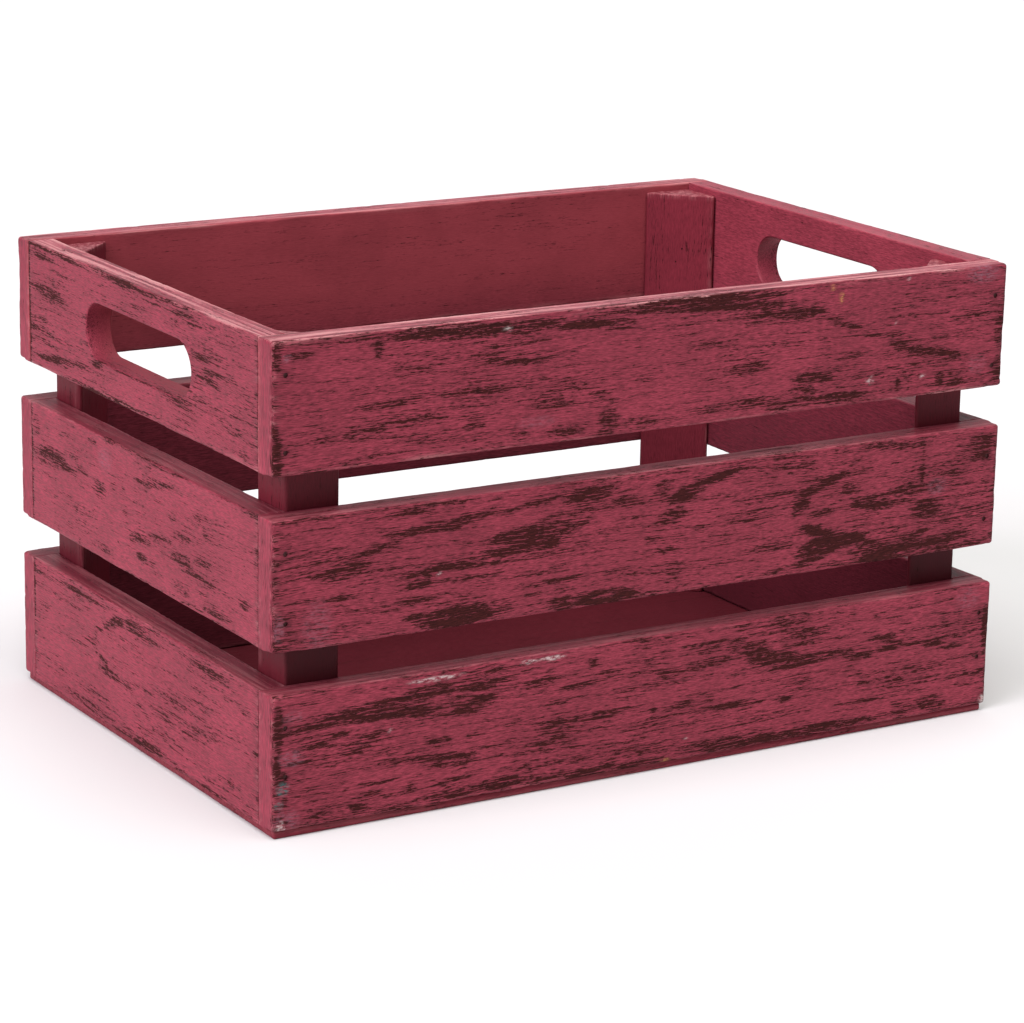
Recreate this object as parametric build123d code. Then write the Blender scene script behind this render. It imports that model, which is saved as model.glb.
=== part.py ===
from build123d import *
from collections import namedtuple
import os

# Wooden apple crate, in millimetres. X runs along the length, Y from front to back and Z up.
# The origin is the middle of the underside, where the floor panel meets the ground.

# Overall plan
CRATE_LENGTH = 440.0
CRATE_WIDTH = 300.0

# Boards
BOARD_THICKNESS = 15.0
BOTTOM_BOARD_WIDTH = 70.0
UPPER_BOARD_WIDTH = 67.0
TIER_GAP = 21.0
ARRIS_RADIUS = 2.5

# Hand-hold slot in each top end board
SLOT_LENGTH = 124.0
SLOT_HEIGHT = 30.0
SLOT_EDGE_RADIUS = 1.5

# Floor panel, nailed on from below
FLOOR_THICKNESS = 4.0
FLOOR_INSET = 2.0
FLOOR_EDGE_RADIUS = 0.8

# Triangular corner posts
POST_LEG = 32.0
POST_ARRIS_RADIUS = 1.5
POST_TOP_RADIUS = 0.8
POST_DROP = 4.0

# Nails and brads. Each goes through one piece and bites into the next, and its head's top lies
# the sink below the face of the first.
Nail = namedtuple("Nail", "through bite shank head head_thickness sink")
BOARD_NAIL = Nail(BOARD_THICKNESS, bite=26.0, shank=1.8, head=3.0, head_thickness=1.0, sink=1.0)
POST_BRAD = Nail(POST_LEG / 2, bite=7.0, shank=1.2, head=2.0, head_thickness=0.8, sink=1.6)
FLOOR_BRAD = Nail(FLOOR_THICKNESS, bite=14.0, shank=1.2, head=3.2, head_thickness=0.6, sink=0.3)
POINT_LENGTH_RATIO = 1.5
HOLE_CLEARANCE = 0.05
TIP_CLEARANCE = 0.5
MOUTH_OVERSHOOT = 4.0

# Where the fasteners go
HIGH_NAIL_DROP = 17.0
LOW_NAIL_RISE = {"bottom": 28.0, "middle": 15.0, "top": 12.0}
BRAD_STAGGER = 8.0
LONG_SIDE_FLOOR_BRADS = 5
LONG_SIDE_BRAD_MARGIN = 25.0
END_SIDE_FLOOR_BRADS = 3
END_SIDE_BRAD_MARGIN = 55.0

# Places that follow from the sizes above
HALF_LENGTH = CRATE_LENGTH / 2
HALF_WIDTH = CRATE_WIDTH / 2
INNER_HALF_LENGTH = HALF_LENGTH - BOARD_THICKNESS
INNER_HALF_WIDTH = HALF_WIDTH - BOARD_THICKNESS
END_BOARD_MIDDLE = HALF_LENGTH - BOARD_THICKNESS / 2
LONG_BOARD_MIDDLE = HALF_WIDTH - BOARD_THICKNESS / 2

Tier = namedtuple("Tier", "name low high low_nail high_nail")
SIDES = {"front": -1, "back": 1}
ENDS = {"left": -1, "right": 1}


def stack_tiers():
    """The three tiers of boards, from the floor panel up."""
    widths = {"bottom": BOTTOM_BOARD_WIDTH, "middle": UPPER_BOARD_WIDTH, "top": UPPER_BOARD_WIDTH}
    tiers = []
    low = FLOOR_THICKNESS
    for name, width in widths.items():
        high = low + width
        tiers.append(Tier(name, low, high, low + LOW_NAIL_RISE[name], high - HIGH_NAIL_DROP))
        low = high + TIER_GAP
    return tiers


TIERS = stack_tiers()
RIM_HEIGHT = TIERS[-1].high


def long_board(side, tier):
    """A front or back board. It runs the full length and covers the end boards' ends."""
    board = Box(CRATE_LENGTH, BOARD_THICKNESS, tier.high - tier.low)
    board = fillet(board.edges(), ARRIS_RADIUS)
    return Pos(0, side * LONG_BOARD_MIDDLE, (tier.low + tier.high) / 2) * board


def end_board(end, tier):
    """An end board, which fits between the long boards. Its ends stay square."""
    board = Box(BOARD_THICKNESS, 2 * INNER_HALF_WIDTH, tier.high - tier.low)
    board = fillet(board.edges().filter_by(Axis.Y), ARRIS_RADIUS)
    if tier is TIERS[-1]:
        board = cut_hand_hold(board)
    return Pos(end * END_BOARD_MIDDLE, 0, (tier.low + tier.high) / 2) * board


def cut_hand_hold(board):
    """The round-ended slot through the middle of a top end board, with eased edges."""
    outline = Plane.YZ * SlotOverall(SLOT_LENGTH, SLOT_HEIGHT)
    board = board - extrude(outline, BOARD_THICKNESS, both=True)
    rims = [edge for face in board.faces().filter_by(Axis.X)
            for wire in face.inner_wires() for edge in wire.edges()]
    return fillet(rims, SLOT_EDGE_RADIUS)


def floor_panel():
    """The thin sheet under the bottom boards, a little smaller than the crate all round."""
    panel = Box(CRATE_LENGTH - 2 * FLOOR_INSET, CRATE_WIDTH - 2 * FLOOR_INSET, FLOOR_THICKNESS)
    panel = fillet(panel.edges().filter_by(Axis.Z), FLOOR_EDGE_RADIUS)
    return Pos(0, 0, FLOOR_THICKNESS / 2) * panel


def corner_post(end, side):
    """A triangular post. Two faces lie against the boards and the wide one faces the inside."""
    corner = (end * INNER_HALF_LENGTH, side * INNER_HALF_WIDTH)
    along_length = (corner[0] - end * POST_LEG, corner[1])
    along_width = (corner[0], corner[1] - side * POST_LEG)
    section = make_face(Polyline(corner, along_length, along_width, close=True))
    section = fillet(section.vertices(), POST_ARRIS_RADIUS)
    post = Pos(0, 0, FLOOR_THICKNESS) * extrude(section, post_length(), dir=(0, 0, 1))
    top = post.faces().sort_by(Axis.Z)[-1]
    return fillet(top.edges(), POST_TOP_RADIUS)


def post_length():
    """From the floor panel to a little below the rim."""
    return RIM_HEIGHT - POST_DROP - FLOOR_THICKNESS


def nail_solid(nail):
    """A nail driven down the Z axis into wood whose face is at height zero."""
    head_low = -nail.sink - nail.head_thickness
    point_length = POINT_LENGTH_RATIO * nail.shank
    straight = nail.through + nail.bite + head_low - point_length
    head = Pos(0, 0, head_low + nail.head_thickness / 2) * Cylinder(nail.head / 2, nail.head_thickness)
    shank = Pos(0, 0, head_low - straight / 2) * Cylinder(nail.shank / 2, straight)
    point = Cone(0, nail.shank / 2, point_length)
    return head + shank + Pos(0, 0, head_low - straight - point_length / 2) * point


def nail_hole(nail):
    """What a nail takes out of the wood: the mouth over its head, its head and its shank."""
    mouth_low = -nail.sink - nail.head_thickness
    mouth_height = MOUTH_OVERSHOOT - mouth_low
    depth = nail.through + nail.bite + mouth_low + TIP_CLEARANCE
    mouth = Cylinder(nail.head / 2 + HOLE_CLEARANCE, mouth_height)
    shaft = Cylinder(nail.shank / 2 + HOLE_CLEARANCE, depth)
    return Pos(0, 0, mouth_low + mouth_height / 2) * mouth + Pos(0, 0, mouth_low - depth / 2) * shaft


def board_nail_places(side):
    """Two nails through each end of each long board, into the middle of the end board's edge."""
    return [Plane((end * END_BOARD_MIDDLE, side * HALF_WIDTH, height), z_dir=(0, side, 0))
            for tier in TIERS for end in ENDS.values() for height in (tier.low_nail, tier.high_nail)]


def post_brad_places():
    """In each tier every post has one brad into its end board and one into its long board."""
    x = INNER_HALF_LENGTH - POST_LEG / 2
    y = INNER_HALF_WIDTH - POST_LEG / 2
    places = []
    for tier in TIERS:
        middle = (tier.low_nail + tier.high_nail) / 2
        for end in ENDS.values():
            for side in SIDES.values():
                places.append(Plane((end * x, side * y, middle), z_dir=(-end, 0, 0)))
                places.append(Plane((end * x, side * y, middle - BRAD_STAGGER), z_dir=(0, -side, 0)))
    return places


def spread(reach, count):
    """Evenly spaced places from one end of a run to the other."""
    return [reach * (2 * i / (count - 1) - 1) for i in range(count)]


def floor_brad_places():
    """Brads up through the floor panel, into the middle of each bottom board's lower edge."""
    long_run = spread(INNER_HALF_LENGTH - LONG_SIDE_BRAD_MARGIN, LONG_SIDE_FLOOR_BRADS)
    end_run = spread(INNER_HALF_WIDTH - END_SIDE_BRAD_MARGIN, END_SIDE_FLOOR_BRADS)
    points = [(x, side * LONG_BOARD_MIDDLE) for side in SIDES.values() for x in long_run]
    points += [(end * END_BOARD_MIDDLE, y) for end in ENDS.values() for y in end_run]
    return [Plane((x, y, 0), z_dir=(0, 0, -1)) for x, y in points]


def boxes_meet(first, second):
    """Whether two bounding boxes share any space."""
    a, b = first.bounding_box(), second.bounding_box()
    return all(lo < hi for lo, hi in zip(a.min, b.max)) and all(lo < hi for lo, hi in zip(b.min, a.max))


def drill(piece, holes):
    """Cut out of a piece the nail holes that reach it."""
    near = [hole for hole in holes if boxes_meet(piece, hole)]
    return piece - near if near else piece


def wooden_pieces():
    """Every board, post and panel, before its nail holes."""
    pieces = {"floor_panel": floor_panel()}
    for tier in TIERS:
        for name, side in SIDES.items():
            pieces[f"{name}_board_{tier.name}"] = long_board(side, tier)
        for name, end in ENDS.items():
            pieces[f"{name}_end_board_{tier.name}"] = end_board(end, tier)
    for end_name, end in ENDS.items():
        for side_name, side in SIDES.items():
            pieces[f"corner_post_{side_name}_{end_name}"] = corner_post(end, side)
    return pieces


def fastener_groups():
    """Each group's name, its kind of nail and its places."""
    return {
        "front_nails": (BOARD_NAIL, board_nail_places(SIDES["front"])),
        "back_nails": (BOARD_NAIL, board_nail_places(SIDES["back"])),
        "post_brads": (POST_BRAD, post_brad_places()),
        "floor_brads": (FLOOR_BRAD, floor_brad_places()),
    }


def main():
    os.makedirs("parts", exist_ok=True)
    groups = fastener_groups()
    holes = [place * nail_hole(nail) for nail, places in groups.values() for place in places]
    for name, piece in wooden_pieces().items():
        export_step(drill(piece, holes), f"parts/{name}.step")
    for name, (nail, places) in groups.items():
        export_step(Compound(children=[place * nail_solid(nail) for place in places]), f"parts/{name}.step")


main()
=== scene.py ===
import math
from collections import namedtuple

import bpy
import numpy as np
from mathutils import Matrix, Vector


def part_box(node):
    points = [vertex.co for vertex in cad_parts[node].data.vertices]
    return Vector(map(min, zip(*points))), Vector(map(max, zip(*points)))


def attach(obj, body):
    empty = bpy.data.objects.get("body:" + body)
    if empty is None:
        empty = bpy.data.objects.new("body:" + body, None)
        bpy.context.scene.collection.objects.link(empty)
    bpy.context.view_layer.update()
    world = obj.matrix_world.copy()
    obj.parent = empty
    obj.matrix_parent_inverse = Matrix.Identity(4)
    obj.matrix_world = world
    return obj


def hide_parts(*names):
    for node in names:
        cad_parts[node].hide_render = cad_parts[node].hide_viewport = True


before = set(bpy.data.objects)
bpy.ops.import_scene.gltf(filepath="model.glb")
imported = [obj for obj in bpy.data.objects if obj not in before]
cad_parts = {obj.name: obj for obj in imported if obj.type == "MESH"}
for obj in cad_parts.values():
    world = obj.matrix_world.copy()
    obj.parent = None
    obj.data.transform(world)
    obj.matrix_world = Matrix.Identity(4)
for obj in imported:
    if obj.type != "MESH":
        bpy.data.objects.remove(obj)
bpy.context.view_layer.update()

# The painted apple crate: boards, corner posts and floor panel as worn timber, around the fixed CAD frame.
# X runs along the crate, the front is at -Y and Z is up. Blender's unit is the metre; MM turns millimetres
# into it.
MM = 0.001


# ---------------------------------------------------------------- sizes of the wear and of the meshes

# Boards. A board's cells are longest in its middle and finest at its arrises.
CELL_ALONG = 2.2 * MM
CELL_ACROSS = 1.25 * MM
CELLS_THROUGH = 15
CELL_GRADING = 0.4
BOARD_ARRIS = 1.2 * MM
BOARD_CRUSH = 1.1
BOARD_END_WEAR = 0.9
BOARD_WAVE = 0.4 * MM
BOARD_END_REACH = 30 * MM
JOINT_ARRIS = 0.4 * MM

# The floor panel is thin sheet, flatter and crisper than the boards.
PANEL_CELL = 3 * MM
PANEL_CELLS_THROUGH = 5
PANEL_ARRIS = 0.8 * MM
PANEL_WAVE = 0.25 * MM
PANEL_CRUSH = 0.3
PANEL_SEED = 51

# Corner posts, triangular in section.
POST_ARRIS = 1.5 * MM  # as on the CAD posts
POST_END_ROUNDING = 0.8 * MM
POST_RING_STEP = 2.5 * MM
POST_WAVE = 0.15 * MM
FIRST_POST_SEED = 31

# Pits over the sunk nail heads: clearance round the head, depth below its top, reach above it, and how far a
# pit narrows to its tip, because the paint has closed over its mouth.
PIT_CLEARANCE = 0.12 * MM
PIT_BELOW_HEAD = 0.9 * MM
PIT_REACH = 4 * MM
PIT_TIP = 0.2
PIT_RAGGED = 0.5 * MM
PIT_SEGMENTS = 22

# Hand-hold slots in the two top end boards.
SLOT_LENGTH = 124 * MM
SLOT_HEIGHT = 30 * MM
SLOT_LIP = 1.3 * MM
SLOT_LIP_SWEEP = 68
SLOT_WAVE = 0.35 * MM
SLOT_OVERRUN = 2 * MM
SLOT_CORNERS = 24

SMOOTH_ANGLE = math.radians(38)

# The camera, from the front and the left, a little above the rim.
CAMERA_PLACE = (-0.9847, -1.6344, 0.6148)
CAMERA_TURN = 31.19
CAMERA_DIP = 14.97
CAMERA_ROLL = 1.0
CAMERA_LENS = 127.12
SENSOR_WIDTH = 36

# Studio light: two broad softboxes, a dim fill and a white backdrop behind.
Softbox = namedtuple("Softbox", "name towards strength spread colour")
SOFTBOXES = [
    Softbox("left softbox", (-0.85, -0.15, 0.50), 2.5, 40, (1.03, 0.90, 1.02)),
    Softbox("overhead softbox", (-0.10, -0.26, 0.96), 3.6, 55, (1.0, 0.99, 0.97)),
]
FILL_STRENGTH = 0.2
BACKDROP_TOWARDS = (0.51, 0.84, 0.2)
BACKDROP_EDGE = 0.55
BACKDROP_STRENGTH = 0.9
STUDIO_FLOOR_HALF = 6.0


# ---------------------------------------------------------------- node helpers


class Nodes:
    """Adds nodes to a tree and joins them, so that a formula reads in one line."""

    def __init__(self, tree):
        self.tree = tree

    def feed(self, socket, value):
        if isinstance(value, bpy.types.NodeSocket):
            self.tree.links.new(value, socket)
        else:
            socket.default_value = value

    def add(self, kind, settings=None, **inputs):
        node = self.tree.nodes.new(kind)
        for name, value in (settings or {}).items():
            setattr(node, name, value)
        for name, value in inputs.items():
            self.feed(node.inputs[name.replace("_", " ")], value)
        return node

    def math(self, operation, *values, clamp=False):
        node = self.tree.nodes.new("ShaderNodeMath")
        node.operation = operation
        node.use_clamp = clamp
        for socket, value in zip(node.inputs, values):
            self.feed(socket, value)
        return node.outputs[0]

    def vector(self, operation, *values):
        node = self.tree.nodes.new("ShaderNodeVectorMath")
        node.operation = operation
        for socket, value in zip(node.inputs, values):
            self.feed(socket, value)
        return node.outputs[0]

    def scaled(self, vector, factor):
        node = self.tree.nodes.new("ShaderNodeVectorMath")
        node.operation = "SCALE"
        self.feed(node.inputs[0], vector)
        self.feed(node.inputs["Scale"], factor)
        return node.outputs[0]

    def times(self, first, second):
        return self.math("MULTIPLY", first, second)

    def plus(self, first, second):
        return self.math("ADD", first, second)

    def minus(self, first, second):
        return self.math("SUBTRACT", first, second)

    def stretched(self, vector, factors):
        return self.vector("MULTIPLY", vector, factors)

    def attribute(self, name, output="Fac"):
        return self.add("ShaderNodeAttribute", {"attribute_name": name}).outputs[output]

    def combine(self, x, y, z):
        return self.add("ShaderNodeCombineXYZ", X=x, Y=y, Z=z).outputs[0]

    def split(self, vector):
        return self.add("ShaderNodeSeparateXYZ", Vector=vector).outputs

    def ramp(self, value, low, high, to_low=0.0, to_high=1.0, kind="SMOOTHSTEP"):
        node = self.add("ShaderNodeMapRange", {"interpolation_type": kind, "clamp": True})
        for socket, number in zip(node.inputs, (value, low, high, to_low, to_high)):
            self.feed(socket, number)
        return node.outputs[0]

    def noise(self, vector, scale=1.0, detail=2.0, roughness=0.5, w=None):
        settings = {"noise_dimensions": "3D" if w is None else "4D"}
        node = self.add(
            "ShaderNodeTexNoise", settings, Vector=vector, Scale=scale, Detail=detail, Roughness=roughness)
        if w is not None:
            self.feed(node.inputs["W"], w)
        return node.outputs[0]

    def mix(self, factor, first, second, blend="MIX"):
        node = self.add("ShaderNodeMix", {"data_type": "RGBA", "blend_type": blend, "clamp_factor": True})
        for socket, value in zip((node.inputs[0], node.inputs[6], node.inputs[7]), (factor, first, second)):
            self.feed(socket, value)
        return node.outputs[2]


def new_tree(name, sockets):
    """An empty geometry tree with these named inputs. Returns the tree, its Nodes and its inputs by name."""
    tree = bpy.data.node_groups.new(name, "GeometryNodeTree")
    for socket_name, kind in sockets.items():
        tree.interface.new_socket(socket_name, in_out="INPUT", socket_type=kind)
    tree.interface.new_socket("Geometry", in_out="OUTPUT", socket_type="NodeSocketGeometry")
    nodes = Nodes(tree)
    given = nodes.add("NodeGroupInput").outputs
    return tree, nodes, given


def close_tree(nodes, geometry, material):
    """Ends a tree: real geometry, smooth faces, its material."""
    real = nodes.add("GeometryNodeRealizeInstances", Geometry=geometry).outputs[0]
    smooth = nodes.add("GeometryNodeSetShadeSmooth", Geometry=real).outputs[0]
    done = nodes.add("GeometryNodeSetMaterial", Geometry=smooth, Material=material).outputs[0]
    nodes.tree.links.new(done, nodes.add("NodeGroupOutput").inputs[0])


def run_tree(tree, piece, settings):
    """Runs a tree on a piece with these inputs, and leaves the result as the piece's plain mesh."""
    modifier = piece.modifiers.new(tree.name, "NODES")
    modifier.node_group = tree
    for item in tree.interface.items_tree:
        if item.in_out == "INPUT" and item.name in settings:
            modifier[item.identifier] = settings[item.name]
    depsgraph = bpy.context.evaluated_depsgraph_get()
    result = bpy.data.meshes.new_from_object(piece.evaluated_get(depsgraph), depsgraph=depsgraph)
    piece.modifiers.clear()
    piece.data = result
    return piece


def new_piece(name, mesh=None):
    piece = bpy.data.objects.new(name, mesh or bpy.data.meshes.new(name))
    bpy.context.scene.collection.objects.link(piece)
    return piece


def discard(piece):
    mesh = piece.data
    bpy.data.objects.remove(piece)
    bpy.data.meshes.remove(mesh)


def ring_faces(ring, rings):
    """The faces of a closed tube of rings, each of this many points, with its first and last ring capped."""
    faces = [tuple(range(ring))[::-1], tuple(range(ring * (rings - 1), ring * rings))]
    for level in range(rings - 1):
        for step in range(ring):
            first = level * ring + step
            second = level * ring + (step + 1) % ring
            faces.append((first, second, second + ring, first + ring))
    return faces


# ---------------------------------------------------------------- geometry trees


def make_board_tree():
    """A sawn board with crushed, uneven arrises: length on X, thickness on Y, width on Z, turned and placed."""
    tree, nodes, given = new_tree("crate board", {
        "Length": "NodeSocketFloat",
        "Thickness": "NodeSocketFloat",
        "Width": "NodeSocketFloat",
        "Cells along": "NodeSocketInt",
        "Cells through": "NodeSocketInt",
        "Cells across": "NodeSocketInt",
        "Arris": "NodeSocketFloat",
        "Crush": "NodeSocketFloat",
        "End wear": "NodeSocketFloat",
        "Wave": "NodeSocketFloat",
        "Joint side": "NodeSocketFloat",
        "Joint arris": "NodeSocketFloat",
        "Seed": "NodeSocketFloat",
        "Turn": "NodeSocketFloat",
        "Place": "NodeSocketVector",
        "Material": "NodeSocketMaterial",
    })
    size = nodes.combine(given["Length"], given["Thickness"], given["Width"])
    half = nodes.scaled(size, 0.5)
    cube = nodes.add(
        "GeometryNodeMeshCube", Size=size,
        Vertices_X=given["Cells along"], Vertices_Y=given["Cells through"], Vertices_Z=given["Cells across"],
    ).outputs[0]
    place = nodes.add("GeometryNodeInputPosition").outputs[0]

    # Finer cells towards the arrises.
    share = nodes.vector("DIVIDE", place, half)
    inwards = nodes.vector("SUBTRACT", (1, 1, 1), nodes.stretched(share, share))
    spread = nodes.vector("ADD", (1, 1, 1), nodes.scaled(inwards, CELL_GRADING))
    graded = nodes.add(
        "GeometryNodeSetPosition", Geometry=cube, Position=nodes.stretched(place, spread)).outputs[0]

    # Arris radius: crushed where the noise is high, and more towards the board's ends.
    dents = nodes.noise(place, scale=34, detail=3, roughness=0.6, w=given["Seed"])
    nicks = nodes.noise(place, scale=150, detail=2, roughness=0.6, w=given["Seed"])
    hits = nodes.plus(nodes.ramp(dents, 0.5, 0.74), nodes.times(nodes.ramp(nicks, 0.54, 0.70), 0.9))
    crushed = nodes.times(given["Crush"], hits)
    along = nodes.math("ABSOLUTE", nodes.split(place)[0])
    half_length = nodes.times(given["Length"], 0.5)
    near_end = nodes.ramp(along, nodes.minus(half_length, BOARD_END_REACH), half_length)
    worn_end = nodes.times(given["End wear"], near_end)
    growth = nodes.plus(nodes.plus(0.8, crushed), worn_end)
    worn = nodes.math(
        "MINIMUM", nodes.times(given["Arris"], growth), nodes.times(given["Thickness"], 0.42))

    # Where another board butts against this one the arris stays crisp: on the side towards Joint side, or on
    # both sides if it is 0.
    side = nodes.math("DIVIDE", nodes.split(place)[1], given["Thickness"])
    leaning = nodes.plus(nodes.times(nodes.times(side, given["Joint side"]), 5.0), 1.5)
    on_joint_side = nodes.math("SUBTRACT", leaning, nodes.math("ABSOLUTE", given["Joint side"]), clamp=True)
    at_joint = nodes.times(near_end, on_joint_side)
    crisp = nodes.times(at_joint, nodes.minus(given["Joint arris"], worn))
    radius = nodes.plus(worn, crisp)
    core = nodes.vector("SUBTRACT", half, nodes.combine(radius, radius, radius))
    nearest = nodes.vector("MAXIMUM", nodes.vector("MINIMUM", place, core), nodes.scaled(core, -1))
    outward = nodes.vector("NORMALIZE", nodes.vector("SUBTRACT", place, nearest))
    rounded = nodes.add(
        "GeometryNodeSetPosition", Geometry=graded,
        Position=nodes.vector("ADD", nearest, nodes.scaled(outward, radius)),
    ).outputs[0]

    # The saw left the faces a little uneven, always inwards of the true size.
    normal = nodes.add("GeometryNodeInputNormal").outputs[0]
    waves = nodes.noise(nodes.stretched(place, (9, 30, 30)), detail=3, roughness=0.55, w=given["Seed"])
    depth = nodes.times(given["Wave"], nodes.ramp(waves, 0.3, 0.7, kind="LINEAR"))
    sawn = nodes.add(
        "GeometryNodeSetPosition", Geometry=rounded,
        Offset=nodes.scaled(normal, nodes.times(depth, -1)),
    ).outputs[0]

    placed = nodes.add("GeometryNodeTransform", Geometry=sawn, Translation=given["Place"])
    nodes.feed(placed.inputs["Rotation"], nodes.combine(0, 0, given["Turn"]))
    close_tree(nodes, placed.outputs[0], given["Material"])
    return tree


def make_pit_tree():
    """Ragged cones on the points of a piece, to be cut out of the wood over the nail heads."""
    tree, nodes, given = new_tree("nail pits", {
        "Points": "NodeSocketGeometry",
        "Radius": "NodeSocketFloat",
        "Depth": "NodeSocketFloat",
        "Direction": "NodeSocketVector",
        "Ragged": "NodeSocketFloat",
        "Seed": "NodeSocketFloat",
        "Material": "NodeSocketMaterial",
    })
    tip = nodes.times(given["Radius"], PIT_TIP)
    cone = nodes.add(
        "GeometryNodeMeshCone", Vertices=PIT_SEGMENTS, Side_Segments=6,
        Radius_Top=tip, Radius_Bottom=given["Radius"], Depth=given["Depth"],
    ).outputs[0]
    foot = nodes.scaled(given["Direction"], nodes.times(given["Depth"], -0.5))
    turn = nodes.add("FunctionNodeAlignRotationToVector", {"axis": "Z"}, Vector=given["Direction"]).outputs[0]
    pits = nodes.add(
        "GeometryNodeInstanceOnPoints", Points=given["Points"], Instance=cone, Rotation=turn).outputs[0]
    real = nodes.add("GeometryNodeRealizeInstances", Geometry=pits).outputs[0]
    place = nodes.add("GeometryNodeInputPosition").outputs[0]
    x, y, z = (nodes.noise(place, scale=900, w=nodes.plus(given["Seed"], shift)) for shift in (0, 10, 20))
    push = nodes.vector("SUBTRACT", nodes.combine(x, y, z), (0.5, 0.5, 0.5))
    offset = nodes.vector("ADD", nodes.scaled(push, given["Ragged"]), foot)
    torn = nodes.add("GeometryNodeSetPosition", Geometry=real, Offset=offset).outputs[0]
    close_tree(nodes, torn, given["Material"])
    return tree


def make_bore_tree():
    """Cuts another piece out of this one."""
    tree, nodes, given = new_tree("bored timber", {
        "Timber": "NodeSocketGeometry",
        "Cutter": "NodeSocketObject",
        "Material": "NodeSocketMaterial",
    })
    cutter = nodes.add("GeometryNodeObjectInfo", Object=given["Cutter"]).outputs["Geometry"]
    cut = nodes.add("GeometryNodeMeshBoolean", {"operation": "DIFFERENCE", "solver": "MANIFOLD"})
    nodes.feed(cut.inputs["Mesh 1"], given["Timber"])
    nodes.feed(cut.inputs["Mesh 2"], cutter)
    close_tree(nodes, cut.outputs[0], given["Material"])
    return tree


board_tree = make_board_tree()
pit_tree = make_pit_tree()
bore_tree = make_bore_tree()


# ---------------------------------------------------------------- paint, wood and steel


PAINT_SPECULAR = 0.15
WOOD_ROUGHNESS = 0.82
PAINT_RELIEF = 0.35 * MM


def new_material(name):
    material = bpy.data.materials.new(name)
    material.use_nodes = True
    nodes = Nodes(material.node_tree)
    shader = material.node_tree.nodes["Principled BSDF"]
    return material, nodes, shader


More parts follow.
